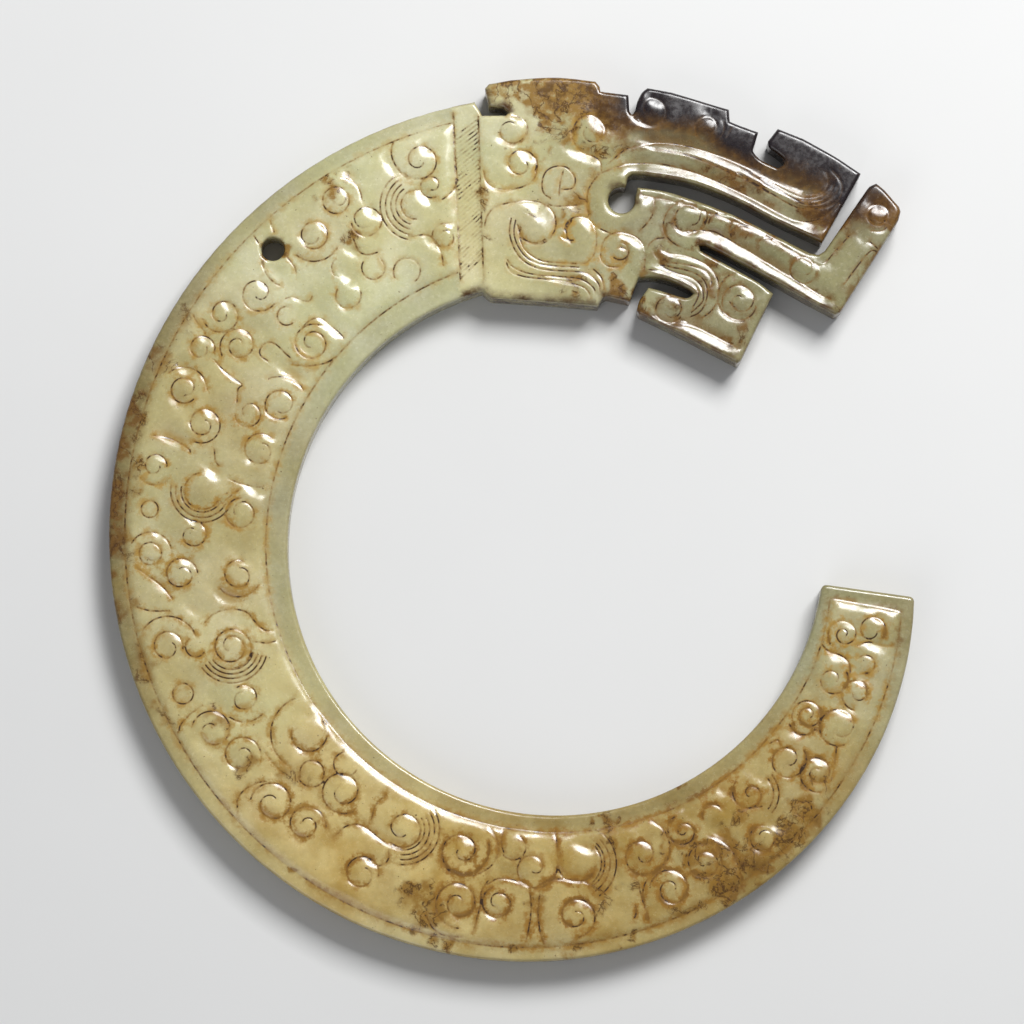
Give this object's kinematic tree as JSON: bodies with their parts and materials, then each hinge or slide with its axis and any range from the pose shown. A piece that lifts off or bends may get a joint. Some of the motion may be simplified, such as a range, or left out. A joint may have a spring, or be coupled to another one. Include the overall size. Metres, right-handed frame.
{
  "type": "jade dragon pendant",
  "caption": "Flat C-shaped jade dragon pendant with an open-mouthed head, a body carved with curls in low relief and a drilled hanging hole.",
  "frame": {"origin": "middle of the box that holds the pendant, on the flat back that it lies on", "axes": "+Z out of the carved front, +Y towards the dragon's crest, +X towards the opening of the C"},
  "size_m": [0.09, 0.0992, 0.0051],
  "materials": {
    "jade": "polished"
  },
  "bodies": {
    "root": {"dragon_pendant": "jade"}
  },
  "joints": []
}
